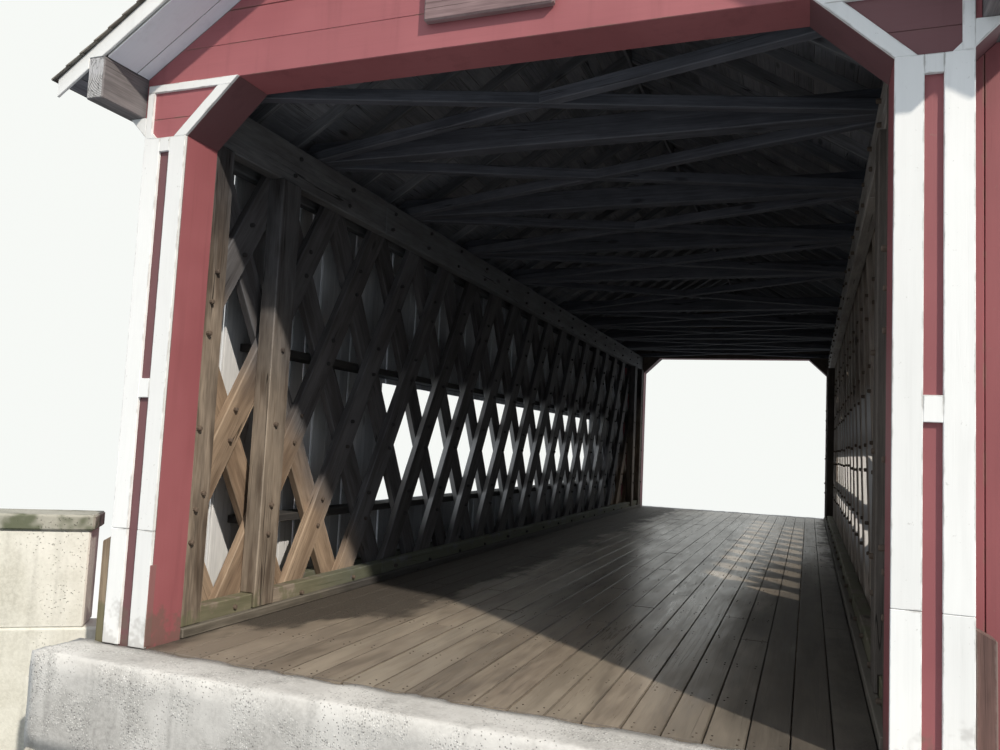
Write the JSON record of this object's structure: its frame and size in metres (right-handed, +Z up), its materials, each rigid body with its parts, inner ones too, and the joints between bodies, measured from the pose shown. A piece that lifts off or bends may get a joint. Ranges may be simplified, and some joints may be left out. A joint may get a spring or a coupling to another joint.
{
  "type": "covered timber bridge",
  "caption": "single-lane covered bridge with plank lattice trusses, board siding, one long window each side, boxed portals and a shingled gable roof",
  "frame": {"origin": "on the ground line under the middle of the bridge, at the foot of the abutments", "axes": "+Y runs along the road from the near portal to the far one, +X across the bridge to the right seen from the near portal, +Z up"},
  "size_m": [10.4802, 19.6102, 8.9873],
  "materials": {
    "concrete": "weathered concrete with moss",
    "whitewash": "worn whitewash on concrete",
    "timber": "rough sawn and weathered",
    "deck": "worn planks with grit",
    "shingle": "weathered shingles",
    "red_paint": "faded paint",
    "white_paint": "scuffed paint",
    "plaque": "dark weathered board"
  },
  "bodies": {
    "root": {"abutments": "concrete", "backwalls": "concrete", "wing_walls": "whitewash", "parapets": "whitewash", "parapet_caps": "concrete", "bed_timbers": "timber", "floor_beams": "timber", "deck": "deck", "curbs": "deck", "right_inner_lattice": "timber", "left_inner_lattice": "timber", "right_outer_lattice": "timber", "left_outer_lattice": "timber", "right_lower_chord": "timber", "left_lower_chord": "timber", "right_upper_chord": "timber", "left_upper_chord": "timber", "truss_posts": "timber", "tie_beams": "timber", "long_braces": "timber", "short_braces": "timber", "right_rafters": "timber", "left_rafters": "timber", "ridge_board": "timber", "eave_plates": "timber", "right_roof_boards": "timber", "left_roof_boards": "timber", "right_shingles": "shingle", "left_shingles": "shingle", "right_ridge_cap": "shingle", "left_ridge_cap": "shingle", "rake_fascias": "white_paint", "rake_soffits": "white_paint", "right_end_siding": "red_paint", "left_end_siding": "red_paint", "right_middle_siding": "red_paint", "left_middle_siding": "red_paint", "girts": "timber", "end_walls": "red_paint", "portal_pillars": "red_paint", "portal_knees": "red_paint", "portal_lintels": "red_paint", "gable_walls": "red_paint", "trim_uprights": "white_paint", "trim_rails": "white_paint", "trim_knees": "white_paint", "plaque": "plaque", "guard_posts": "timber"}
  },
  "joints": []
}
